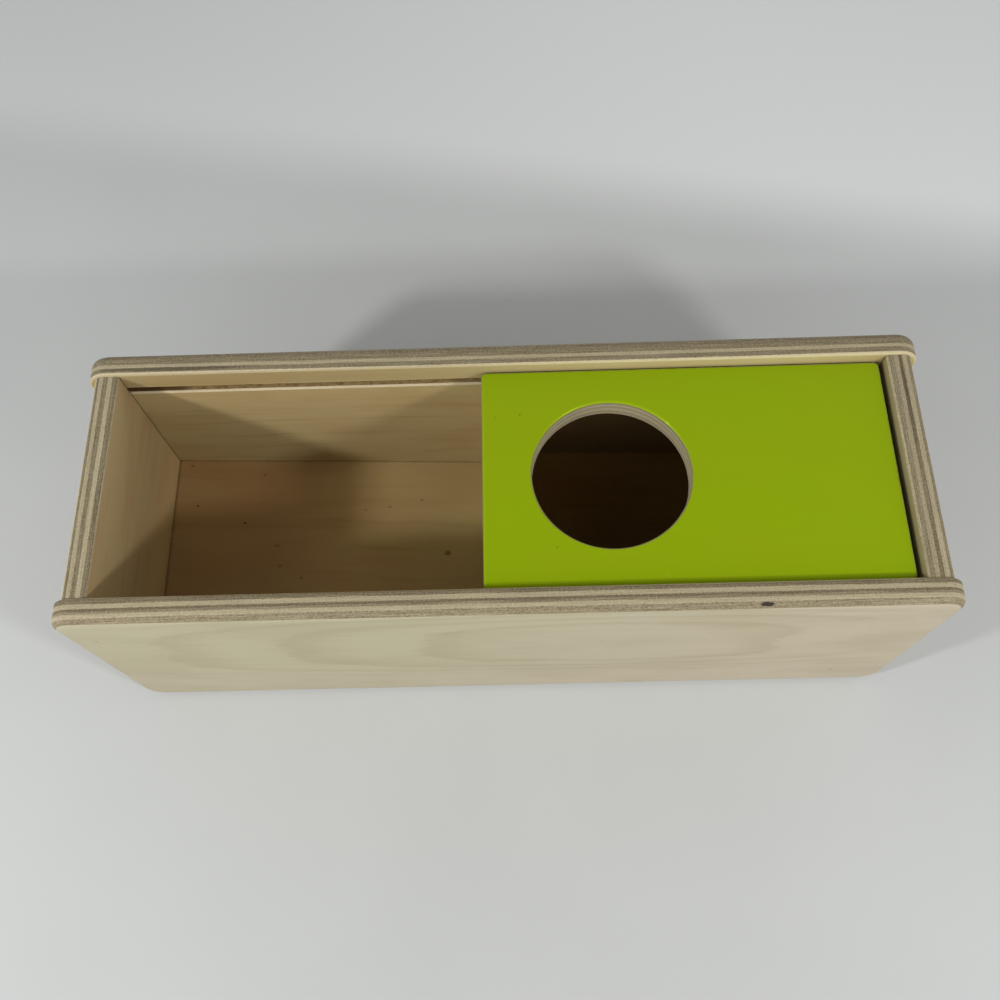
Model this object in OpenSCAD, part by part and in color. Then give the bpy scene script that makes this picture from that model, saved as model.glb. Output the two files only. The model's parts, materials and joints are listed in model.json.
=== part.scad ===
// Object permanence box: a plywood box of two bays with sloping floors, and a lid that slides over them.
// Origin on the ground at the middle of the footprint, +X along the box, +Y to the back, +Z up.

/* [Box] */
// Overall length, which is the length of the front and back panels
box_length = 290; // [250:1:360]
// Overall width, across the outer faces of the front and back panels
box_width = 98; // [88:1:130]
// Overall height, which is the height of the front and back panels
box_height = 100; // [90:1:130]
// Thickness of the plywood that all the boards are cut from
board = 8.8; // [8:0.1:12]

/* [Edges] */
// Radius of the four corners of the front and back panels, seen from the front
corner_radius = 8; // [5:0.5:14]
// Round-over along the outer edges of the panels
outer_edge_radius = 3; // [1:0.1:3.5]
// Round-over along the inner edges of the panels
inner_edge_radius = 1; // [0.4:0.1:2]

/* [End panels] */
// Distance from the ends of the long panels in to the outer faces of the end panels
end_setback = 3.5; // [0.5:0.1:8]
// Distance from the long panels' top and bottom edges to those of the end panels
end_step = 0.8; // [0.5:0.1:5]

/* [Lid] */
// Length of the sliding lid
lid_length = 137.5; // [118:0.5:160]
// Depth of the lid's top face below the long panels' top edges
lid_drop = 4; // [0.5:0.1:8]
// Gap between the lid and each long panel, above and below the tongues
lid_side_gap = 0.6; // [0.3:0.1:1.5]
// Gap between the lid and the right end panel, with the lid pushed to the right
lid_end_gap = 1.8; // [0.4:0.1:4]
// Radius of the lid's four corners, seen from above
lid_corner_radius = 1.8; // [1.8:0.1:6]
// Round-over along the lid's upper edges
lid_upper_radius = 1.1; // [0.5:0.1:1.6]
// Round-over along the lid's lower edges
lid_lower_radius = 0.4; // [0.2:0.1:0.8]
// Diameter of the hole that the ball drops through
ball_hole_diameter = 53; // [40:0.5:60]
// Distance from the lid's left end to the middle of the ball hole
ball_hole_inset = 43; // [36:0.5:60]
// Round-over along both rims of the ball hole
rim_radius = 1; // [0.3:0.1:1.5]

/* [Tongue and groove] */
// Thickness of the tongue along each long side of the lid
tongue_thickness = 3.4; // [2.5:0.1:4.5]
// Height of the tongues' underside above the round-over of the lid's lower edges
tongue_rise = 0.1; // [0.1:0.1:2]
// Depth of the groove that each tongue runs in
groove_depth = 3.5; // [2.5:0.1:5]
// Clearance all round each tongue in its groove
groove_fit = 0.3; // [0.2:0.05:0.6]
// Chamfer along the lower lip of each groove
lip_chamfer = 0.7; // [0.3:0.1:1]

/* [Divider] */
// Height of the divider's lower edge above the ground
divider_foot = 4; // [3:0.5:8]
// Gap between the divider's upper edge and the lid's underside
divider_gap = 1.5; // [1.5:0.1:6]

/* [Ramps] */
// Height of the floor at the high end of each ramp
ramp_top = 31; // [28:0.5:45]
// Height that each ramp falls, from its high end at the left to its low end at the right
ramp_fall = 9.3; // [4:0.1:12]
// Depth of the housings in the long panels that hold the ramps and the divider
housing_depth = 3; // [2:0.1:4]
// Clearance all round each board in its housings
housing_fit = 0.1; // [0.05:0.05:0.3]
// Thickness of the glue between boards that butt together
glue_line = 0.1; // [0.05:0.05:0.3]

/* [Dowels] */
// Diameter of the dowels in the corner joints
dowel_diameter = 6; // [4:0.5:6.5]
// Length of each dowel
dowel_length = 20; // [15:0.5:30]
// Length of each dowel that stands in a long panel
dowel_entry = 5.5; // [4:0.5:6]
// Chamfer at both ends of each dowel
dowel_chamfer = 0.8; // [0.4:0.1:1.2]
// Clearance round each dowel and past its ends
dowel_fit = 0.1; // [0.05:0.05:0.3]

/* [Hidden] */
$fn = 64;
quarter_turn = 90;
// Length by which every cut runs past the face that it opens
overrun = 1;

inner_length = box_length - 2 * (end_setback + board);
inner_width = box_width - 2 * board;

lid_right = inner_length / 2 - lid_end_gap;
lid_left = lid_right - lid_length;
lid_bottom = box_height - lid_drop - board;
lid_width = inner_width - 2 * lid_side_gap;
tongue_reach = lid_side_gap + groove_depth - groove_fit;
tongue_bottom = lid_bottom + lid_lower_radius + tongue_rise;
tongue_middle = tongue_bottom + tongue_thickness / 2;
ball_hole_radius = ball_hole_diameter / 2;
// The hole's rounded wall is one ring, let into a plain round opening in the lid
rim_ring_radius = ball_hole_radius + 2 * rim_radius;

groove_height = tongue_thickness + 2 * groove_fit;
groove_bottom = tongue_bottom - groove_fit;

// Width of the boards that stand in housings in both long panels
housed_width = inner_width + 2 * (housing_depth - housing_fit);
divider_top = lid_bottom - divider_gap;

// Each ramp runs from one butt joint to the next, between an end panel and the divider
ramp_left = glue_line - inner_length / 2;
ramp_right = -board / 2 - glue_line;
ramp_angle = atan(ramp_fall / (ramp_right - ramp_left));
ramp_upright = board / cos(ramp_angle);
// Distance from the left ramp to the right one
bay_pitch = inner_length / 2 + board / 2;

dowel_x = inner_length / 2 + board / 2;
dowel_height_shares = [0.25, 0.72];

DOWELS = [
    for (side = ["front", "back"])
        for (end = ["left", "right"])
            for (level = [0, 1])
                [str("dowel_", side, "_", end, level == 0 ? "_lower" : "_upper"), side, end, level]
];
BOARDS = [
    "front_panel", "back_panel", "left_end_panel", "right_end_panel",
    "divider", "left_ramp", "right_ramp", "sliding_lid"
];

panel_colour = [0.80, 0.72, 0.56];
end_colour = [0.76, 0.67, 0.50];
ramp_colour = [0.66, 0.53, 0.35];
lid_colour = [0.55, 0.64, 0.06];
dowel_colour = [0.82, 0.68, 0.48];

// Extrudes an outline along Y, with the outline's second axis upright
module along_y(from, to) {
    translate([0, to, 0])
        rotate([quarter_turn, 0, 0])
            linear_extrude(to - from) children();
}

// Extrudes an outline along X, with the outline's first axis on Y and its second upright
module along_x(from, to) {
    translate([from, 0, 0])
        rotate([quarter_turn, 0, quarter_turn])
            linear_extrude(to - from) children();
}

// Quarter of a disc in the first quadrant
module quarter_disc(radius) {
    intersection() {
        circle(radius);
        square(2 * radius);
    }
}

// One half of a board's edge, from its middle plane up to half its thickness, with the far corner rounded
module half_edge_outline(reach, thickness, radius) {
    straight = thickness / 2 - radius;
    square([reach, straight]);
    translate([0, straight]) square([reach - radius, radius]);
    translate([reach - radius, straight]) quarter_disc(radius);
}

// Outline of a board's edge, running out from 0 to reach with its lower and upper far corners rounded
module edge_outline(reach, thickness, lower_radius, upper_radius) {
    half_edge_outline(reach, thickness, upper_radius);
    mirror([0, 1]) half_edge_outline(reach, thickness, lower_radius);
}

// Outline of a board with all four corners rounded, centred
module bar_outline(length, thickness, lower_radius, upper_radius) {
    edge_outline(length / 2, thickness, lower_radius, upper_radius);
    mirror([1, 0]) edge_outline(length / 2, thickness, lower_radius, upper_radius);
}

// Outline of a slot with half-round ends, centred
module slot_outline(length, width) {
    run = length - width;
    square([run, width], center = true);
    for (end = [-1, 1])
        translate([end * run / 2, 0])
            rotate(end * -quarter_turn)
                intersection() {
                    circle(width / 2);
                    translate([-width, 0]) square([2 * width, width]);
                }
}

// Flat plate with round corners and rounded edges, centred, with its thickness along Z
module rounded_plate(length, height, thickness, corner, lower_radius, upper_radius) {
    straight_x = length / 2 - corner;
    straight_y = height / 2 - corner;
    along_x(-straight_x, straight_x) bar_outline(height, thickness, lower_radius, upper_radius);
    for (end = [0, 1])
        mirror([end, 0, 0])
            translate([straight_x, 0, 0])
                along_y(-straight_y, straight_y)
                    edge_outline(corner, thickness, lower_radius, upper_radius);
    corners = [[1, 1], [-1, 1], [-1, -1], [1, -1]];
    for (turn = [0:3])
        translate([corners[turn].x * straight_x, corners[turn].y * straight_y, 0])
            rotate(turn * quarter_turn)
                rotate_extrude(angle = quarter_turn)
                    edge_outline(corner, thickness, lower_radius, upper_radius);
}

// Side view of the left ramp, widened all round by a margin
module left_ramp_outline(margin) {
    upright_margin = margin / cos(ramp_angle);
    function floor_at(x) = ramp_top - (x - ramp_left) * tan(ramp_angle);
    left = ramp_left - margin;
    right = ramp_right + margin;
    polygon([
        [left, floor_at(left) + upright_margin],
        [left, floor_at(left) - ramp_upright - upright_margin],
        [right, floor_at(right) - ramp_upright - upright_margin],
        [right, floor_at(right) + upright_margin]
    ]);
}

module right_ramp_outline(margin) {
    translate([bay_pitch, 0]) left_ramp_outline(margin);
}

// Side view of the divider, widened all round by a margin
module divider_outline(margin) {
    translate([-board / 2 - margin, divider_foot - margin])
        square([board + 2 * margin, divider_top - divider_foot + 2 * margin]);
}

// Blind hole for a dowel, from a face at y out to a depth along +Y or -Y
module dowel_hole(end, level, y, depth) {
    translate([end * dowel_x, y, box_height * dowel_height_shares[level]])
        rotate([depth > 0 ? -quarter_turn : quarter_turn, 0, 0])
            translate([0, 0, -overrun])
                cylinder(h = abs(depth) + overrun, r = dowel_diameter / 2 + dowel_fit);
}

// Back panel with its stopped lid groove, its housings and its dowel holes
module long_panel() {
    inner_face = inner_width / 2;
    lip_bottom = groove_bottom - lip_chamfer;
    difference() {
        translate([0, inner_face + board / 2, box_height / 2])
            rotate([quarter_turn, 0, 0])
                rounded_plate(
                    box_length, box_height, board, corner_radius,
                    outer_edge_radius, inner_edge_radius
                );
        along_y(inner_face - overrun, inner_face + groove_depth)
            translate([0, tongue_middle])
                slot_outline(inner_length + groove_height, groove_height);
        along_x(-inner_length / 2, inner_length / 2)
            polygon([
                [inner_face - overrun, lip_bottom - overrun],
                [inner_face + lip_chamfer + overrun, groove_bottom + overrun],
                [inner_face - overrun, groove_bottom + overrun]
            ]);
        along_y(inner_face - overrun, inner_face + housing_depth) {
            left_ramp_outline(housing_fit);
            right_ramp_outline(housing_fit);
            divider_outline(housing_fit);
        }
        for (end = [-1, 1])
            for (level = [0, 1])
                dowel_hole(end, level, inner_face, dowel_entry + dowel_fit);
    }
}

// Right end panel, glued and dowelled between the long panels
module end_panel() {
    half_width = inner_width / 2 - glue_line;
    dowel_depth = dowel_length - dowel_entry - glue_line + dowel_fit;
    difference() {
        along_y(-half_width, half_width)
            translate([dowel_x, box_height / 2])
                rotate(quarter_turn)
                    bar_outline(
                        box_height - 2 * end_step, board,
                        outer_edge_radius, inner_edge_radius
                    );
        for (side = [-1, 1])
            for (level = [0, 1])
                dowel_hole(1, level, side * half_width, -side * dowel_depth);
    }
}

module front_panel() {
    color(panel_colour) mirror([0, 1, 0]) long_panel();
}

module back_panel() {
    color(panel_colour) long_panel();
}

module left_end_panel() {
    color(end_colour) mirror([1, 0, 0]) end_panel();
}

module right_end_panel() {
    color(end_colour) end_panel();
}

module divider() {
    color(end_colour) along_y(-housed_width / 2, housed_width / 2) divider_outline(0);
}

module left_ramp() {
    color(ramp_colour) along_y(-housed_width / 2, housed_width / 2) left_ramp_outline(0);
}

module right_ramp() {
    color(ramp_colour) along_y(-housed_width / 2, housed_width / 2) right_ramp_outline(0);
}

// Lid with its two tongues and no hole yet
module lid_slab() {
    translate([lid_left + lid_length / 2, 0, lid_bottom + board / 2])
        rounded_plate(
            lid_length, lid_width, board, lid_corner_radius,
            lid_lower_radius, lid_upper_radius
        );
    along_x(lid_left + lid_corner_radius, lid_right - lid_corner_radius)
        translate([0, tongue_middle])
            square([lid_width + 2 * tongue_reach, tongue_thickness], center = true);
}

module sliding_lid() {
    color(lid_colour) {
        difference() {
            lid_slab();
            translate([lid_left + ball_hole_inset, 0, lid_bottom - overrun])
                cylinder(h = board + 2 * overrun, r = rim_ring_radius);
        }
        translate([lid_left + ball_hole_inset, 0, lid_bottom + board / 2])
            rotate_extrude()
                translate([rim_ring_radius, 0])
                    mirror([1, 0])
                        edge_outline(
                            rim_ring_radius - ball_hole_radius, board, rim_radius, rim_radius
                        );
    }
}

// Chamfered dowel across one corner joint, with its deep end in the end panel
module corner_dowel(side, end, level) {
    radius = dowel_diameter / 2;
    outward = side == "front" ? -1 : 1;
    along = end == "left" ? -1 : 1;
    tip = inner_width / 2 + dowel_entry;
    color(dowel_colour)
        translate([along * dowel_x, outward * tip, box_height * dowel_height_shares[level]])
            rotate([outward * quarter_turn, 0, 0])
                rotate_extrude()
                    polygon([
                        [0, 0],
                        [radius - dowel_chamfer, 0],
                        [radius, dowel_chamfer],
                        [radius, dowel_length - dowel_chamfer],
                        [radius - dowel_chamfer, dowel_length],
                        [0, dowel_length]
                    ]);
}

front_panel();
back_panel();
left_end_panel();
right_end_panel();
divider();
left_ramp();
right_ramp();
sliding_lid();
for (dowel = DOWELS)
    corner_dowel(dowel[1], dowel[2], dowel[3]);
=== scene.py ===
"""Looks of the plywood ball box with a sliding lid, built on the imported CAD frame."""
import json
import math

import bpy
from mathutils import Matrix, Vector


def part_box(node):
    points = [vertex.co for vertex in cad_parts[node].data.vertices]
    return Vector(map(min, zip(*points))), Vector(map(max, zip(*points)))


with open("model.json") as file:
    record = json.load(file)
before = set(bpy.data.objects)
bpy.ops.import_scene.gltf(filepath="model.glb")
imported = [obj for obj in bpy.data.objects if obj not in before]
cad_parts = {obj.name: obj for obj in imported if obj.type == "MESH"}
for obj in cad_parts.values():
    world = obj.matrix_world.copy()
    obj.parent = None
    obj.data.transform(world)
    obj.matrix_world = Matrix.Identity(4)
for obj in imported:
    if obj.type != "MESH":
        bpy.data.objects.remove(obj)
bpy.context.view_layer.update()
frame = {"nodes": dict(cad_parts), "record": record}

MM = 1000.0                # millimetres in a metre: shader lengths are in millimetres
nodes = frame["nodes"]


def linear(red, green, blue):
    """Screen colour from 0 to 255 as linear light with full opacity."""
    def channel(value):
        share = value / 255
        return share / 12.92 if share <= 0.04045 else ((share + 0.055) / 1.055) ** 2.4
    return channel(red), channel(green), channel(blue), 1.0


class Shader:
    """Builds the node tree of one material with short calls. A value is a number, a colour or a
    socket."""

    SPOT_RIM = (1.2, 0.7)      # radii that a spot fades out and is full at
    SPOT_WOBBLE = 0.9          # unevenness of its rim, in radii
    SPOT_SCALES = (0.8, 0.8, 0.8)

    def __init__(self, name):
        self.material = bpy.data.materials.new(name)
        self.material.use_nodes = True
        self.tree = self.material.node_tree
        self.tree.nodes.clear()
        place = self.tree.nodes.new("ShaderNodeTexCoord").outputs["Object"]
        self.place = self.stretch(place, (MM, MM, MM))
        self.x, self.y, self.z = self.split(self.place)

    def put(self, socket, value):
        if isinstance(value, bpy.types.NodeSocket):
            self.tree.links.new(value, socket)
        else:
            socket.default_value = value

    def math(self, operation, first, second=0.0, clamp=False):
        node = self.tree.nodes.new("ShaderNodeMath")
        node.operation = operation
        node.use_clamp = clamp
        self.put(node.inputs[0], first)
        self.put(node.inputs[1], second)
        return node.outputs[0]

    def add(self, *values):
        total = values[0]
        for value in values[1:]:
            total = self.math("ADD", total, value)
        return total

    def minus(self, first, second):
        return self.math("SUBTRACT", first, second)

    def times(self, *values):
        product = values[0]
        for value in values[1:]:
            product = self.math("MULTIPLY", product, value)
        return product

    def over(self, first, second):
        return self.math("DIVIDE", first, second)

    def clamp(self, value):
        return self.math("ADD", value, 0.0, True)

    def size(self, value):
        return self.math("ABSOLUTE", value)

    def root(self, value):
        return self.math("SQRT", value)

    def rise(self, value, low, high, start=0.0, end=1.0):
        """Smooth step of value from start at low to end at high."""
        node = self.tree.nodes.new("ShaderNodeMapRange")
        node.interpolation_type = "SMOOTHSTEP"
        self.put(node.inputs["Value"], value)
        limits = {"From Min": low, "From Max": high, "To Min": start, "To Max": end}
        for socket, number in limits.items():
            node.inputs[socket].default_value = number
        return node.outputs[0]

    def mix(self, share, first, second):
        """Colour that goes from first to second as share goes from 0 to 1."""
        node = self.tree.nodes.new("ShaderNodeMix")
        node.data_type = "RGBA"
        first_colour, second_colour, mixed = node.inputs[6], node.inputs[7], node.outputs[2]
        self.put(node.inputs[0], share)
        self.put(first_colour, first)
        self.put(second_colour, second)
        return mixed

    def vector(self, x, y, z):
        node = self.tree.nodes.new("ShaderNodeCombineXYZ")
        for socket, value in zip(node.inputs, (x, y, z)):
            self.put(socket, value)
        return node.outputs[0]

    def split(self, vector):
        node = self.tree.nodes.new("ShaderNodeSeparateXYZ")
        self.put(node.inputs[0], vector)
        return node.outputs[:]

    def stretch(self, vector, scales, shift=0.0):
        node = self.tree.nodes.new("ShaderNodeVectorMath")
        node.operation = "MULTIPLY_ADD"
        self.put(node.inputs[0], vector)
        node.inputs[1].default_value = scales
        node.inputs[2].default_value = (shift, shift, shift)
        return node.outputs[0]

    def noise(self, vector, scales, shift=0.0, detail=2.0, roughness=0.5):
        """Noise from about -0.5 to 0.5. scales are its features per unit of the vector, and shift
        moves to another part of the pattern."""
        node = self.tree.nodes.new("ShaderNodeTexNoise")
        self.put(node.inputs["Vector"], self.stretch(vector, scales, shift))
        node.inputs["Scale"].default_value = 1.0
        node.inputs["Detail"].default_value = detail
        node.inputs["Roughness"].default_value = roughness
        return self.minus(node.outputs[0], 0.5)

    def cells(self, vector, scales, shift=0.0):
        """Distance to the nearest cell point, and that cell's random number."""
        node = self.tree.nodes.new("ShaderNodeTexVoronoi")
        self.put(node.inputs["Vector"], self.stretch(vector, scales, shift))
        node.inputs["Scale"].default_value = 1.0
        parts = self.tree.nodes.new("ShaderNodeSeparateColor")
        self.put(parts.inputs[0], node.outputs["Color"])
        return node.outputs["Distance"], parts.outputs[0]

    def bands(self, value, stops, soft):
        """Steps through (upper limit, level) pairs of value, with soft edges, as a grey level."""
        node = self.tree.nodes.new("ShaderNodeValToRGB")
        top = stops[-1][0]
        marks = [(0.0, stops[0][1])]
        for (limit, level), (_, following) in zip(stops, stops[1:]):
            marks += [((limit - soft) / top, level), ((limit + soft) / top, following)]
        marks.append((1.0, stops[-1][1]))
        elements = node.color_ramp.elements
        while len(elements) < len(marks):
            elements.new(0.5)
        for element, (position, level) in zip(elements, marks):
            element.position = position
            element.color = (level, level, level, 1.0)
        self.put(node.inputs[0], self.over(value, top))
        return node.outputs[0]

    def spot(self, centre, radii):
        """Soft mask with an uneven rim, 1 inside an ellipsoid round centre, in millimetres."""
        parts = []
        for value, middle, radius in zip((self.x, self.y, self.z), centre, radii):
            offset = self.over(self.minus(value, middle), radius)
            parts.append(self.times(offset, offset))
        uneven = self.noise(self.place, self.SPOT_SCALES)
        far = self.add(self.root(self.add(*parts)), self.times(uneven, self.SPOT_WOBBLE))
        return self.rise(far, *self.SPOT_RIM)

    def finish(self, colour, roughness, height, depth, specular, tint=(1.0, 1.0, 1.0, 1.0)):
        """Principled surface with a bump of height over depth in millimetres."""
        bump = self.tree.nodes.new("ShaderNodeBump")
        bump.inputs["Strength"].default_value = 1.0
        bump.inputs["Distance"].default_value = depth / MM
        self.put(bump.inputs["Height"], height)
        surface = self.tree.nodes.new("ShaderNodeBsdfPrincipled")
        self.put(surface.inputs["Base Color"], colour)
        self.put(surface.inputs["Roughness"], roughness)
        self.put(surface.inputs["Normal"], bump.outputs[0])
        surface.inputs["Specular IOR Level"].default_value = specular
        surface.inputs["Specular Tint"].default_value = tint
        output = self.tree.nodes.new("ShaderNodeOutputMaterial")
        self.put(output.inputs["Surface"], surface.outputs[0])
        return self.material


def dress(node, material):
    """Gives a CAD node one material."""
    mesh = nodes[node].data
    mesh.materials.clear()
    mesh.materials.append(material)


def corners(node):
    """Lowest and highest corner of a CAD node, in millimetres."""
    return [Vector(point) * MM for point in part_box(node)]


# sizes and places in millimetres
front_low, front_high = corners("front_panel")
back_low, back_high = corners("back_panel")
left_low, left_high = corners("left_end_panel")
right_low, right_high = corners("right_end_panel")
divider_low, divider_high = corners("divider")
lid_low, lid_high = corners("sliding_lid")
BOARD = back_high.y - back_low.y
INNER_Y = back_low.y
INNER_X = right_low.x
LID_GAP = 0.6                        # between the lid's long sides and the panels
LID_SIDE = INNER_Y - LID_GAP
GROOVE_MIDDLE = lid_low.z + 2.2      # height of the grooves that the lid's tongues run in
GROOVE_HALF = 2.0
GROOVE_DEPTH = 3.5
RAMP_END = 1.0                       # how near to a ramp's end a point counts as on it


def floor_line(ramp):
    """Place of a ramp's high end, its height there, and its slope, from the ramp's top face."""
    points = [vertex.co * MM for vertex in nodes[ramp].data.vertices]
    left, right = min(point.x for point in points), max(point.x for point in points)
    high = max(point.z for point in points if point.x < left + RAMP_END)
    low = max(point.z for point in points if point.x > right - RAMP_END)
    return left, high, (high - low) / (right - left)


floors = {ramp: floor_line(ramp) for ramp in ("left_ramp", "right_ramp")}

# board edges: palest and darkest ply, and their pores
PALE_PLY = linear(204, 190, 156)
DEEP_PLY = linear(94, 82, 58)
PORE = linear(58, 46, 28)

# voids and pits, joint lines, and the grooves' inside
VOID = linear(36, 27, 13)
JOINT = linear(82, 54, 24)
GROOVE_WOOD = linear(156, 130, 82)

# plies from the outer face inwards: (depth that the ply ends at, darkness of its edge)
FRONT_PLIES = (
    (1.95, 0.72), (3.4, 0.38), (4.2, 0.72), (5.1, 0.88), (6.7, 0.43), (8.5, 0.86), (8.8, 0.45))
BACK_PLIES = ((1.2, 0.67), (2.6, 0.82), (4.65, 0.78), (5.95, 0.42), (7.75, 0.76), (8.8, 0.08))
LEFT_PLIES = (
    (1.1, 0.25), (2.3, 0.82), (3.65, 0.46), (5.3, 0.80), (6.85, 0.42), (8.5, 0.82), (8.8, 0.5))
RIGHT_PLIES = ((2.0, 0.78), (3.65, 0.46), (5.1, 0.84), (6.6, 0.54), (8.2, 0.74), (8.8, 0.40))
PLAIN_PLIES = (
    (1.3, 0.35), (2.6, 0.8), (3.8, 0.35), (5.0, 0.8), (6.2, 0.35), (7.5, 0.8), (8.8, 0.35))
PLY_SOFT = 0.09            # softness of the line between two plies

# veneers: ground colour, darker grain, and the tint of the clouds, or of the warm parts of a
# veneer with a heart
CREAM = (linear(180, 173, 146), linear(160, 147, 116), linear(176, 165, 137))
HEART_CREAM = (linear(180, 173, 145), linear(158, 149, 117), linear(186, 174, 151))
TAN = (linear(180, 160, 115), linear(146, 120, 76), linear(174, 150, 104))
RUDDY = (linear(166, 146, 107), linear(134, 108, 72), linear(162, 134, 98))
BROWN = (linear(182, 155, 106), linear(146, 114, 68), linear(178, 143, 96))
PALE = (linear(212, 200, 164), linear(184, 166, 124), linear(206, 190, 150))
# the right end panel's inner veneer, browner, and darkened partly as painted shade for its gap
# beside the lid
UMBER_AND_GAP_SHADE = (linear(154, 142, 102), linear(124, 108, 70), linear(146, 132, 94))
# painted shade: darker wood for the floor under the lid
UNDER_LID_SHADE = (linear(146, 112, 58), linear(112, 82, 40), linear(140, 104, 52))

# hearts of the long panels' figure: middle along and across, and half sizes of the smallest oval
FRONT_HEART = (33.0, 63.0, 65.0, 25.0)
BACK_HEART = (-30.0, 36.0, 58.0, 20.0)
OVAL_POWER = 4.8           # how flat the ovals' long sides are: 2 is an ellipse
OVAL_STEP = 0.68           # distance from one oval to the next, in half sizes of the smallest

# patterns of the wood: features per millimetre along the grain, across it and in depth
CLOUDS = (0.018, 0.05, 0.0)
BROAD_GRAIN = (0.005, 0.3, 0.0)
FIBRES = (0.09, 2.4, 0.4)
FLECKS = (0.2, 1.6, 0.2)
WAVE_DRIFT = (0.012, 0.02, 0.0)
WAVE_PATCHES = (0.014, 0.04, 0.0)
WAVES_ACROSS = 0.1         # wavy growth lines per millimetre, and how far they drift
WAVE_SWING = 1.8
OVAL_DRIFT = (0.02, 0.06, 0.0)
OVAL_TEETH = (0.2, 0.4, 0.0)
PLY_SWAY = (0.016, 0.016, 0.1)
PLY_FUZZ = (0.6, 0.6, 1.5)
STREAKS = (0.05, 0.05, 3.4)
GRIT = (1.3, 2.4, 2.6)

# depth and softness of the veneer that the outer faces show, and the inner faces
SKIN, SKIN_SOFT = 0.3, 0.08
INNER_SKIN, INNER_SKIN_SOFT = 0.02, 0.015

# finish of the wood
EDGE_ROUGHNESS, FACE_ROUGHNESS = 0.66, 0.55
WOOD_RELIEF = 0.05
WOOD_SPECULAR = 0.3


def ovals(s, along, across, heart):
    """Growth lines of a flat-cut veneer: long nested ovals, each darkening outwards up to its
    line."""
    middle_along, middle_across, half_along, half_across = heart
    out_along = s.over(s.minus(along, middle_along), half_along)
    out_across = s.over(s.size(s.minus(across, middle_across)), half_across)
    drift = s.noise(s.grain, OVAL_DRIFT, s.seed + 17.0)
    teeth = s.noise(s.grain, OVAL_TEETH, s.seed + 19.0, 3.0, 0.7)
    far = s.root(s.add(s.times(out_along, out_along), s.math("POWER", out_across, OVAL_POWER)))
    far = s.add(far, s.times(drift, 0.4), s.times(teeth, 0.25))
    ring = s.math("FRACT", s.over(s.minus(far, 1.0), OVAL_STEP))
    shown = s.times(s.rise(far, 0.5, 0.8), s.rise(far, 3.4, 2.2),
                    s.rise(out_along, 1.6, 0.9, 0.3, 1.0))
    return s.times(s.rise(ring, 0.35, 0.92), s.rise(ring, 1.0, 0.9), shown)


def veneer(s, colours, figure, heart=None):
    """Face of one veneer: clouds, broad grain, growth lines and fine fibres, with its height. A
    heart adds ovals, over a ground that warms towards +X and the foot."""
    ground, grain, tint = colours
    along, across, _ = s.split(s.grain)
    cloud = s.noise(s.grain, CLOUDS, s.seed, 3.0)
    lines = s.noise(s.grain, BROAD_GRAIN, s.seed + 5.0, 4.0, 0.6)
    fibre = s.noise(s.grain, FIBRES, s.seed, 3.0, 0.65)
    drift = s.noise(s.grain, WAVE_DRIFT, s.seed + 9.0)
    turns = s.add(s.times(across, WAVES_ACROSS), s.times(drift, WAVE_SWING))
    wave = s.math("SINE", s.times(turns, math.tau))
    patch = s.noise(s.grain, WAVE_PATCHES, s.seed + 13.0)
    growth = s.times(s.rise(wave, 0.8, 1.0), s.rise(patch, -0.02, 0.12))
    fleck_far, fleck_pick = s.cells(s.grain, FLECKS, s.seed)
    fleck = s.times(s.rise(fleck_far, 0.2, 0.08), s.rise(fleck_pick, 0.62, 0.66))
    share = s.add(s.rise(lines, 0.0, 0.25, 0.0, 0.5 * figure), s.times(growth, 0.45 * figure),
                  s.times(fibre, 0.4), s.times(fleck, 0.15))
    if heart:
        warm = s.add(s.rise(along, -40.0, 120.0), s.rise(across, 50.0, 10.0, 0.0, 0.6))
        ground = s.mix(s.clamp(warm), ground, tint)
        colour = s.mix(s.rise(cloud, -0.08, 0.16, 0.0, 0.3), ground, grain)
        share = s.add(share, s.times(ovals(s, along, across, heart), 0.42))
    else:
        colour = s.mix(s.rise(cloud, -0.08, 0.16), ground, tint)
    return s.mix(s.clamp(share), colour, grain), s.minus(fibre, s.times(fleck, 0.4))


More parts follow.
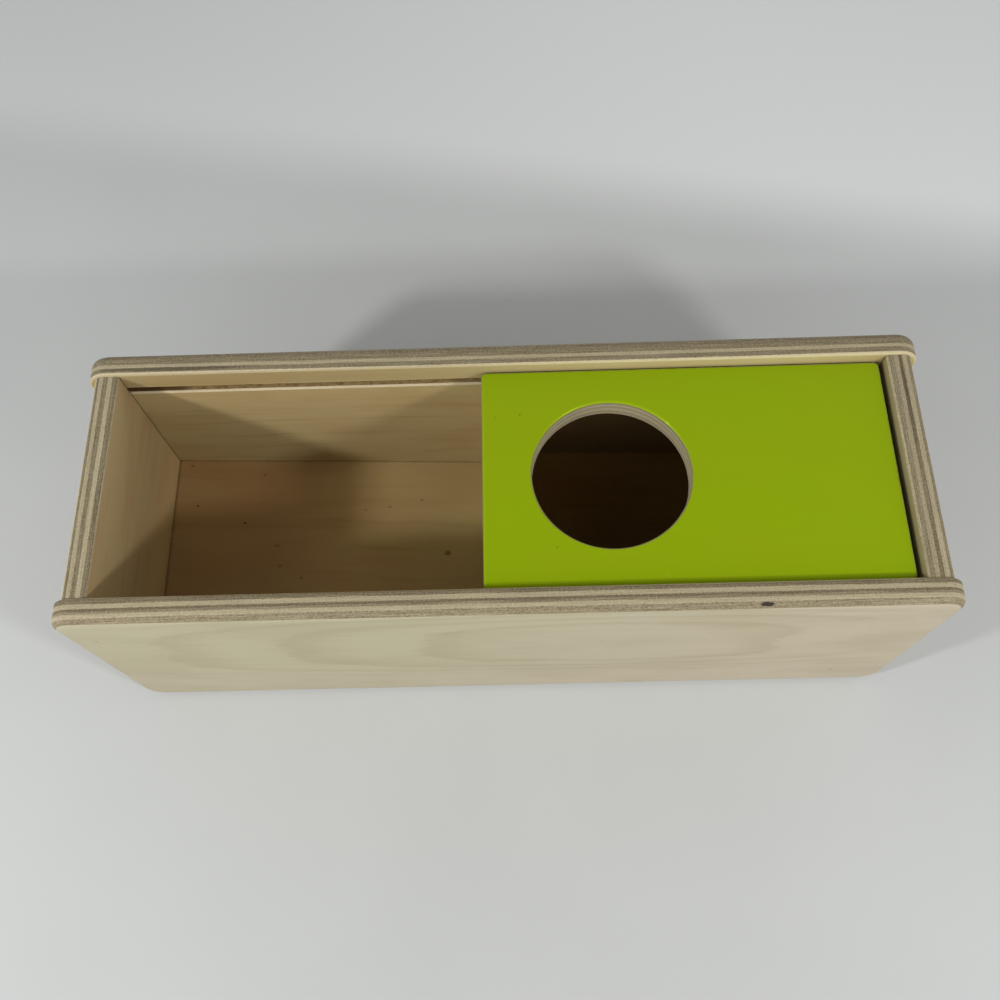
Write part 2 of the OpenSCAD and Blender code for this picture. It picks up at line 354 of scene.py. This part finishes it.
def plywood(name, layout, plies, seed, outer, inner, figure, marks=None, bow=0.0, tilt=0.0,
            heart=None):
    """Plywood board. layout gives (along the face grain, across it, depth from the outer face).
    outer and inner are its veneers, and figure is how strong their grain is. marks adds the
    board's own joints and blemishes, and on some boards painted light and shade. bow and tilt
    shift the plies inwards at the middle and towards +X."""
    s = Shader(name)
    s.seed = seed
    along, across, depth = layout(s)
    s.grain = s.vector(along, across, depth)
    sway = s.noise(s.grain, PLY_SWAY, seed)
    fuzz = s.noise(s.grain, PLY_FUZZ, seed)
    part = s.times(along, 1.0 / front_high.x)
    bend = s.add(s.times(s.minus(1.0, s.times(part, part)), bow), s.times(part, tilt))
    bent = s.minus(s.add(depth, s.times(sway, 0.4), s.times(fuzz, 0.4)), bend)
    dark = s.bands(bent, plies, PLY_SOFT)

    # board edge: broken streaks along the plies, and coarse grit with open pores
    streak = s.noise(s.grain, STREAKS, seed, 3.0, 0.7)
    grit = s.noise(s.grain, GRIT, seed, 3.0, 0.9)
    level = s.add(dark, s.times(streak, 0.9), s.times(grit, 1.4))
    edge = s.mix(s.clamp(level), PALE_PLY, DEEP_PLY)
    pore = s.times(s.rise(grit, 0.12, 0.22), s.rise(dark, 0.2, 0.8, 0.2, 0.6))
    edge = s.mix(pore, edge, PORE)

    outside, outside_height = veneer(s, outer, figure, heart)
    inside, inside_height = veneer(s, inner, figure)
    on_outside = s.rise(depth, SKIN + SKIN_SOFT, SKIN - SKIN_SOFT)
    inner_depth = BOARD - INNER_SKIN
    on_inside = s.rise(depth, inner_depth - INNER_SKIN_SOFT, inner_depth + INNER_SKIN_SOFT)
    colour = s.mix(on_inside, s.mix(on_outside, edge, outside), inside)
    height = s.add(s.times(outside_height, on_outside), s.times(inside_height, on_inside),
                   s.times(grit, 0.8))
    if marks:
        colour, height = marks(s, colour, height)
    on_face = s.add(on_outside, on_inside)
    roughness = s.add(s.times(streak, 0.1),
                      s.rise(on_face, 0.0, 1.0, EDGE_ROUGHNESS, FACE_ROUGHNESS))
    return s.finish(colour, roughness, height, WOOD_RELIEF, WOOD_SPECULAR)


def layout_side(face_y, sign):
    """Side panels: grain along X, depth from the face at face_y."""
    return lambda s: (s.x, s.z, s.times(s.minus(s.y, face_y), sign))


def layout_upright(face_x, sign):
    """End panels and divider: grain along Y, depth from the face at face_x."""
    return lambda s: (s.y, s.z, s.times(s.minus(s.x, face_x), sign))


def above_floor(s, ramp):
    """Height above the line of a ramp's top face, in millimetres."""
    start_x, start_z, slope = floors[ramp]
    return s.minus(s.z, s.minus(start_z, s.times(s.minus(s.x, start_x), slope)))


def layout_ramp(ramp):
    """Ramps: grain along X, depth below the sloping top."""
    slope = floors[ramp][2]
    return lambda s: (s.x, s.y, s.times(above_floor(s, ramp), -math.cos(math.atan(slope))))


def darken(s, colour, height, share):
    """Browns and sinks the surface along joints, by share."""
    return s.mix(s.clamp(share), colour, JOINT), s.minus(height, share)


def blemishes(s, colour, height, spots):
    """Darkens round places in millimetres: (centre, radii, strength)."""
    if not spots:
        return colour, height
    masks = [s.times(s.spot(centre, radii), share) for centre, radii, share in spots]
    mask = s.clamp(s.add(*masks))
    return s.mix(mask, colour, VOID), s.minus(height, mask)


SEAM_SCALES = (0.3, 0.3, 0.3)
SEAM_STRENGTH = 0.42


def seam(s, distance, reach):
    """Mask of a brown joint: strongest at distance 0, uneven, gone at about reach."""
    uneven = s.noise(s.place, SEAM_SCALES, 3.0, 3.0, 0.7)
    ragged = s.add(s.size(distance), s.times(uneven, reach * 1.6))
    return s.times(s.rise(ragged, reach, 0.1), SEAM_STRENGTH)


# inner faces of the long panels: the strip above the groove from left to right, with painted
# shade at the left and painted light at the right, and painted shade on the wall under the lid
STRIP_LIGHT_AND_SHADE = (linear(148, 130, 90), linear(196, 184, 132))
STRIP_HALF = 60.0
COVERED_WALL_SHADE = linear(92, 56, 18)
GROOVE_SCALES = (0.5, 0.9, 0.9)
GROOVE_DARK_START, GROOVE_DARK_FULL = -108.0, -116.0   # the groove gets darker towards its left end


def panel_marks(spots):
    """Joints with the floor and the end panels, painted shade and light on the strip above the
    groove, the rough inside of the groove, darker towards its left end, painted shade on the wall
    under the lid, and the given blemishes."""
    def marks(s, colour, height):
        into = s.minus(s.size(s.y), INNER_Y)
        face = s.times(s.rise(into, -0.3, -0.05), s.rise(into, 0.6, 0.4))
        between_ends = s.rise(s.size(s.x), INNER_X + 4.0, INNER_X + 3.0)
        groove_top = GROOVE_MIDDLE + GROOVE_HALF
        above_groove = s.times(face, s.rise(s.z, groove_top, groove_top + 1.2))
        # painted light and shade: the strip above the groove is darker at the left, where it lies
        # in shade, and paler at the right, where it is lit
        strip = s.mix(s.rise(s.x, -STRIP_HALF, STRIP_HALF), *STRIP_LIGHT_AND_SHADE)
        colour = s.mix(s.times(above_groove, 0.45), colour, strip)
        left = s.rise(s.x, 0.0, -1.0)
        below_end_top = s.rise(s.z, left_high.z - 0.6, left_high.z - 1.2)
        joints = s.add(
            s.times(seam(s, above_floor(s, "left_ramp"), 0.5), left),
            s.times(seam(s, above_floor(s, "right_ramp"), 0.5), s.minus(1.0, left)),
            s.times(seam(s, s.minus(s.size(s.x), INNER_X), 0.6), below_end_top))
        colour, height = darken(s, colour, height, s.times(joints, face, between_ends))
        # painted shade: the back wall under the lid is darkened where the lid shades it
        covered_shade = s.times(face, between_ends,
                          s.rise(s.x, divider_high.x - 1.4, divider_high.x + 1.6),
                          s.rise(s.z, lid_low.z + 0.2, lid_low.z - 0.8))
        colour = s.mix(s.times(covered_shade, 0.6), colour, COVERED_WALL_SHADE)
        from_middle = s.size(s.minus(s.z, GROOVE_MIDDLE))
        groove = s.times(between_ends, s.rise(into, 0.45, 0.9),
                         s.rise(into, GROOVE_DEPTH + 0.2, GROOVE_DEPTH + 0.1),
                         s.rise(from_middle, GROOVE_HALF + 0.3, GROOVE_HALF + 0.15))
        patchy = s.noise(s.place, GROOVE_SCALES, 8.0, 3.0, 0.7)
        rough = s.mix(s.rise(patchy, -0.12, 0.22, 0.0, 0.8), GROOVE_WOOD, JOINT)
        # darkens the groove towards its left end
        groove_dark = s.times(s.rise(s.x, GROOVE_DARK_START, GROOVE_DARK_FULL, 0.0, 0.9), groove)
        colour = s.mix(groove_dark, s.mix(s.times(groove, 0.8), colour, rough), JOINT)
        return blemishes(s, colour, s.minus(height, groove), spots)
    return marks


# painted light on the end panels' inner faces, as a paler foot: its colour, and the heights that
# it starts and is full at
FOOT_LIGHT = linear(196, 170, 118)
FOOT_LIGHT_START, FOOT_LIGHT_FULL = 62.0, 36.0


def end_marks(ramp, spots=()):
    """Joints with the floor and the side panels, a paler foot as painted light, and the given
    blemishes.
    """
    def marks(s, colour, height):
        side = s.minus(s.size(s.y), INNER_Y)
        joints = s.add(seam(s, above_floor(s, ramp), 0.9), seam(s, side, 0.6))
        inside = s.rise(s.size(s.x), INNER_X + 0.5, INNER_X + 0.3)
        # painted light: the inner face gets paler towards its foot
        foot = s.rise(s.z, FOOT_LIGHT_START, FOOT_LIGHT_FULL, 0.0, 0.5)
        colour = s.mix(s.times(inside, foot), colour, FOOT_LIGHT)
        colour, height = darken(s, colour, height, s.times(inside, joints))
        return blemishes(s, colour, height, spots)
    return marks


# painted light and shade on the open floor: a paler tint towards its low end, where lamp light
# falls, and a redder tint towards its high end, which lies in shade
LIT_FLOOR_TINT = linear(158, 146, 98)
SHADED_FLOOR_TINT = linear(136, 100, 60)
SPECK_DEPTH = 2.0


def ramp_marks(ramp, specks=()):
    """Joints round the floor, and on the open one painted light as a paler low end and painted
    shade as a redder high end, and pinholes and small knots at the given places."""
    def marks(s, colour, height):
        start_x, start_z, slope = floors[ramp]
        down = s.minus(s.x, start_x)
        if specks:
            # painted light and shade: paler towards the lamp-lit low end, redder towards the
            # shaded high end
            colour = s.mix(s.rise(down, 60.0, 110.0, 0.0, 0.5), colour, LIT_FLOOR_TINT)
            colour = s.mix(s.rise(down, 80.0, 35.0, 0.0, 0.5), colour, SHADED_FLOOR_TINT)
        end_x = start_x + INNER_X - BOARD / 2
        joints = s.add(seam(s, s.minus(s.size(s.y), INNER_Y), 0.6), seam(s, down, 1.2),
                       seam(s, s.minus(s.x, end_x), 0.7))
        colour, height = darken(s, colour, height, joints)
        return blemishes(s, colour, height, [
            ((x, y, start_z - (x - start_x) * slope), (along, across, SPECK_DEPTH), share)
            for x, y, along, across, share in specks])
    return marks


# blemishes on the open floor: (x, y, half length, half width, strength)
FLOOR_SPECKS = (
    (-23.4, -0.1, 1.3, 1.1, 0.6), (-127.3, 37.7, 0.9, 0.4, 0.5), (-123.6, 20.0, 0.6, 0.5, 0.7),
    (-104.3, 12.7, 0.5, 0.4, 0.85), (-91.0, 2.9, 0.9, 0.4, 0.45), (-98.0, 33.8, 0.5, 0.4, 0.5),
    (-89.3, -5.5, 0.8, 0.5, 0.4), (-80.8, -10.5, 0.6, 0.4, 0.5), (-46.9, 19.7, 0.7, 0.4, 0.5),
    (-56.5, 18.4, 0.5, 0.4, 0.5), (-34.0, 22.9, 0.7, 0.4, 0.4))
# the front panel's void in its outer ply, and pits in its face; dark stretches of the back
# panel's and the right end panel's plies: (centre, radii, strength)
FRONT_SPOTS = (
    ((81.6, -47.7, 99.5), (2.3, 0.8, 0.8), 0.95), ((-135.9, -49.0, 79.3), (1.2, 1.0, 0.5), 0.35),
    ((122.9, -49.0, 16.8), (1.0, 1.0, 0.7), 0.35), ((32.4, -49.0, 65.6), (0.6, 1.0, 0.9), 0.12),
    ((68.0, -49.0, 72.5), (0.6, 1.0, 0.7), 0.12))
BACK_SPOTS = (((-114.0, 42.3, 100.0), (28.0, 0.75, 2.0), 0.5),)
RIGHT_SPOTS = (((137.1, 24.0, 99.2), (0.5, 20.0, 2.0), 0.4),)

dress("front_panel", plywood(
    "front_plywood", layout_side(front_low.y, 1.0), FRONT_PLIES, 11.0, HEART_CREAM, TAN, 0.3,
    panel_marks(FRONT_SPOTS), bow=0.3, tilt=0.15, heart=FRONT_HEART))
dress("back_panel", plywood(
    "back_plywood", layout_side(back_high.y, -1.0), BACK_PLIES, 37.0, HEART_CREAM, TAN, 0.5,
    panel_marks(BACK_SPOTS), bow=0.35, heart=BACK_HEART))
dress("left_end_panel", plywood(
    "left_end_plywood", layout_upright(left_low.x, 1.0), LEFT_PLIES, 53.0, CREAM, RUDDY, 0.5,
    end_marks("left_ramp")))
dress("right_end_panel", plywood(
    "right_end_plywood", layout_upright(right_high.x, -1.0), RIGHT_PLIES, 71.0, CREAM, UMBER_AND_GAP_SHADE, 0.5,
    end_marks("right_ramp", RIGHT_SPOTS)))
dress("divider", plywood(
    "divider_plywood", layout_upright(divider_low.x, 1.0), PLAIN_PLIES, 29.0, PALE, TAN, 0.4))
dress("left_ramp", plywood(
    "left_ramp_plywood", layout_ramp("left_ramp"), PLAIN_PLIES, 5.0, BROWN, BROWN, 0.5,
    ramp_marks("left_ramp", FLOOR_SPECKS)))
dress("right_ramp", plywood(
    "right_ramp_plywood", layout_ramp("right_ramp"), PLAIN_PLIES, 23.0, UNDER_LID_SHADE, UNDER_LID_SHADE, 0.5,
    ramp_marks("right_ramp")))

# lid: two close shades of lime, its dark and light specks, and a painted highlight on its upper
# rims
LIME = (linear(139, 165, 8), linear(141, 163, 11))
LIME_SPECK = linear(84, 96, 4)
LIME_GLINT = linear(190, 205, 90)
LIME_RIM_HIGHLIGHT = linear(206, 206, 140)
LIME_GLOSS = linear(226, 255, 120)
PAINT_ROUGHNESS, BARE_ROUGHNESS = 0.3, 0.62
PAINT_RELIEF = 0.06
PAINT_SPECULAR = 0.45
# bare wood in the hole: palest and darkest ply, the stain under the paint, and the plies from the
# top down as (depth that the ply ends at, darkness)
BARE = (linear(206, 194, 162), linear(98, 86, 62))
BARE_STAIN = linear(128, 132, 48)
HOLE_PLIES = ((1.5, 0.75), (2.7, 0.4), (4.2, 0.62), (5.6, 0.4), (7.2, 0.62), (8.8, 0.45))
HOLE_PLY_SOFT = 0.12
# patterns of the lid: features per millimetre
PAINT_EDGE = (0.4, 0.4, 0.4)
ORANGE_PEEL = (0.45, 0.45, 0.45)
PAINT_CLOUDS = (0.02, 0.03, 0.0)
SPECKS = (0.11, 0.11, 0.0)
GLINTS = (0.13, 0.13, 0.0)
HOLE_GRIT = (1.6, 1.6, 2.4)


def lid_paint():
    """Satin lime paint on the slab, bare plywood in the hole."""
    s = Shader("lid_paint")
    hole = next(mount for mount in frame["record"]["mounts"] if mount["name"] == "ball_hole")
    hole_x, hole_radius = hole["pos_m"][0] * MM, hole["dims"]["r_mm"]
    out_x = s.minus(s.x, hole_x)
    reach = s.root(s.add(s.times(out_x, out_x), s.times(s.y, s.y)))
    below = s.minus(lid_high.z, s.z)

    # the paint's ragged end in the hole, which lies lower on the far rim
    ragged = s.times(s.noise(s.place, PAINT_EDGE, 1.0, 3.0, 0.6), 0.2)
    past_paint = s.minus(s.add(below, ragged), s.rise(s.y, 4.0, 24.0, 0.0, 0.5))
    wood = s.times(s.rise(reach, hole_radius + 1.0, hole_radius + 0.9),
                   s.rise(past_paint, 0.1, 0.17))

    orange = s.noise(s.place, ORANGE_PEEL)
    cloud = s.noise(s.place, PAINT_CLOUDS, 4.0)
    far, pick = s.cells(s.place, SPECKS, 2.0)
    speck = s.times(s.rise(far, 0.06, 0.02), s.rise(pick, 0.5, 0.52))
    far_light, pick_light = s.cells(s.place, GLINTS, 7.0)
    glint = s.times(s.rise(far_light, 0.05, 0.02), s.rise(pick_light, 0.6, 0.62))
    paint = s.mix(s.rise(cloud, -0.2, 0.2), *LIME)
    paint = s.mix(s.times(speck, 0.6), paint, LIME_SPECK)
    paint = s.mix(s.times(glint, 0.3), paint, LIME_GLINT)

    # painted highlight along the upper rims of the right end and the back
    right_rim = s.rise(s.x, lid_high.x - 1.2, lid_high.x - 0.8)
    back_rim = s.rise(s.y, LID_SIDE - 1.2, LID_SIDE - 0.8)
    rim_highlight = s.times(s.math("MAXIMUM", right_rim, back_rim), s.rise(below, 0.02, 0.15),
                     s.rise(below, 1.2, 0.8), s.rise(orange, -0.2, 0.1))
    paint = s.mix(s.times(rim_highlight, 0.45), paint, LIME_RIM_HIGHLIGHT)

    level = s.bands(s.add(below, s.times(orange, 0.4)), HOLE_PLIES, HOLE_PLY_SOFT)
    grit = s.noise(s.place, HOLE_GRIT, 0.0, 3.0, 0.7)
    bare = s.mix(s.clamp(s.add(level, s.times(grit, 0.4))), *BARE)
    bare = s.mix(s.rise(below, 1.3, 0.5, 0.0, 0.45), bare, BARE_STAIN)
    height = s.minus(s.times(orange, 0.3), s.times(speck, 0.5))
    roughness = s.add(s.times(orange, 0.1),
                      s.rise(wood, 0.0, 1.0, PAINT_ROUGHNESS, BARE_ROUGHNESS))
    return s.finish(s.mix(wood, paint, bare), roughness, height, PAINT_RELIEF, PAINT_SPECULAR,
                    LIME_GLOSS)


dress("sliding_lid", lid_paint())

BEECH = (linear(196, 170, 128), linear(164, 132, 92))
BEECH_FIBRES = (1.2, 0.08, 1.2)


def dowel_wood():
    """Plain beech pins, sealed in the corners."""
    s = Shader("dowel_wood")
    fibre = s.noise(s.place, BEECH_FIBRES, 0.0, 3.0)
    colour = s.mix(s.rise(fibre, -0.3, 0.3), *BEECH)
    roughness = s.rise(fibre, -0.2, 0.2, 0.55, 0.68)
    return s.finish(colour, roughness, fibre, WOOD_RELIEF, WOOD_SPECULAR)


beech = dowel_wood()
for name in nodes:
    if name.startswith("dowel_"):
        dress(name, beech)

# camera: fitted to the photograph's edges for the CAD sizes
FOCAL_PIXELS = 1016.717
IMAGE_PIXELS = 1000.0
SENSOR_MM = 36.0
CLIP_START = 0.01
ELEVATION, YAW, ROLL = (math.radians(angle) for angle in (66.894, -2.593, -3.874))
AIM = Vector((-0.967, -6.227, 90.0)) / MM
AIM_DISTANCE = 341.326 / MM
forward = Vector((math.sin(YAW) * math.cos(ELEVATION), math.cos(YAW) * math.cos(ELEVATION),
                  -math.sin(ELEVATION)))
level_right = Vector((math.cos(YAW), -math.sin(YAW), 0.0))
level_up = level_right.cross(forward)
right = level_right * math.cos(ROLL) + level_up * math.sin(ROLL)
up = level_up * math.cos(ROLL) - level_right * math.sin(ROLL)
camera_data = bpy.data.cameras.new("camera")
camera_data.sensor_width = SENSOR_MM
camera_data.lens = FOCAL_PIXELS * SENSOR_MM / IMAGE_PIXELS
camera_data.clip_start = CLIP_START
camera = bpy.data.objects.new("camera", camera_data)
turn = Matrix((right, up, -forward)).transposed().to_4x4()
camera.matrix_world = Matrix.Translation(AIM - forward * AIM_DISTANCE) @ turn
bpy.context.scene.collection.objects.link(camera)
bpy.context.scene.camera = camera

# floor: a wide pale sheet under the box, with painted light that makes it paler some way behind
# it
FLOOR_HALF = 4.0
NEAR_FLOOR = (linear(197, 199, 198), linear(201, 203, 202))
FAR_FLOOR_LIGHT = (linear(214, 216, 215), linear(231, 233, 232))   # at its left and its right
FAR_LEFT, FAR_RIGHT = -250.0, 150.0
FAR_START, FAR_FULL = 180.0, 232.0                           # millimetres behind the middle
FAR_SLANT = 0.18
FLOOR_MOTTLE = (0.01, 0.01, 0.0)
FLOOR_ROUGHNESS = 0.75
FLOOR_RELIEF = 0.02
FLOOR_SPECULAR = 0.2
floor_mesh = bpy.data.meshes.new("floor")
floor_mesh.from_pydata(
    [(-FLOOR_HALF, -FLOOR_HALF, 0), (FLOOR_HALF, -FLOOR_HALF, 0), (FLOOR_HALF, FLOOR_HALF, 0),
     (-FLOOR_HALF, FLOOR_HALF, 0)], [], [(0, 1, 2, 3)])
floor = bpy.data.objects.new("floor", floor_mesh)
bpy.context.scene.collection.objects.link(floor)
sheet = Shader("floor_sheet")
mottle = sheet.noise(sheet.place, FLOOR_MOTTLE, 0.0, 3.0)
near_colour = sheet.mix(sheet.rise(mottle, -0.3, 0.3), *NEAR_FLOOR)
# painted light: the floor gets paler some way behind the box, and more so to the right
far_painted_light = sheet.mix(sheet.rise(sheet.x, FAR_LEFT, FAR_RIGHT), *FAR_FLOOR_LIGHT)
slanted = sheet.add(sheet.y, sheet.times(sheet.x, FAR_SLANT))
floor_colour = sheet.mix(sheet.rise(slanted, FAR_START, FAR_FULL), near_colour, far_painted_light)
floor_mesh.materials.append(
    sheet.finish(floor_colour, FLOOR_ROUGHNESS, mottle, FLOOR_RELIEF, FLOOR_SPECULAR))

LAMP_WIDTH = 0.045


def lamp(name, place, length, level):
    """Oval lamp aimed at the origin, long side along X. level is what it adds to a level white
    surface there."""
    data = bpy.data.lights.new(name, "AREA")
    data.shape = "ELLIPSE"
    data.size, data.size_y = length, LAMP_WIDTH
    place = Vector(place)
    away = place.normalized()
    data.energy = level * math.pi / away.z * math.pi * place.length_squared
    side = (Vector((1.0, 0.0, 0.0)) - away * away.x).normalized()
    turn = Matrix((side, away.cross(side), away)).transposed().to_4x4()
    thing = bpy.data.objects.new(name, data)
    thing.matrix_world = Matrix.Translation(place) @ turn
    bpy.context.scene.collection.objects.link(thing)


lamp("left_lamp", (-0.457, -0.244, 0.407), 0.06, 0.222)
lamp("right_lamp", (0.384, -0.305, 0.407), 0.10, 0.19)

# studio: pale walls round the floor and a dim ceiling, as (height of the heading, share of the
# full level)
STUDIO_LEVEL = 1.5
FRONT_SHARE = 0.12         # how much brighter it is in front, and dimmer behind
STUDIO = ((0.0, 0.92), (0.3, 0.62), (0.6, 0.42), (0.85, 0.26), (0.95, 0.04), (1.0, 0.013))
world = bpy.data.worlds.new("studio")
bpy.context.scene.world = world
world.use_nodes = True
tree = world.node_tree
heading = tree.nodes.new("ShaderNodeTexCoord")
parts = tree.nodes.new("ShaderNodeSeparateXYZ")
tree.links.new(heading.outputs["Generated"], parts.inputs[0])
shade = tree.nodes.new("ShaderNodeValToRGB")
tree.links.new(parts.outputs[2], shade.inputs[0])
while len(shade.color_ramp.elements) < len(STUDIO):
    shade.color_ramp.elements.new(0.5)
for element, (position, share) in zip(shade.color_ramp.elements, STUDIO):
    element.position = position
    element.color = (share, share, share, 1.0)
tree.links.new(shade.outputs[0], tree.nodes["Background"].inputs["Color"])
front = tree.nodes.new("ShaderNodeMath")
front.operation = "MULTIPLY_ADD"
tree.links.new(parts.outputs[1], front.inputs[0])
front.inputs[1].default_value = -STUDIO_LEVEL * FRONT_SHARE
front.inputs[2].default_value = STUDIO_LEVEL
tree.links.new(front.outputs[0], tree.nodes["Background"].inputs["Strength"])
bpy.context.scene.view_settings.view_transform = "Standard"

bpy.context.view_layer.update()
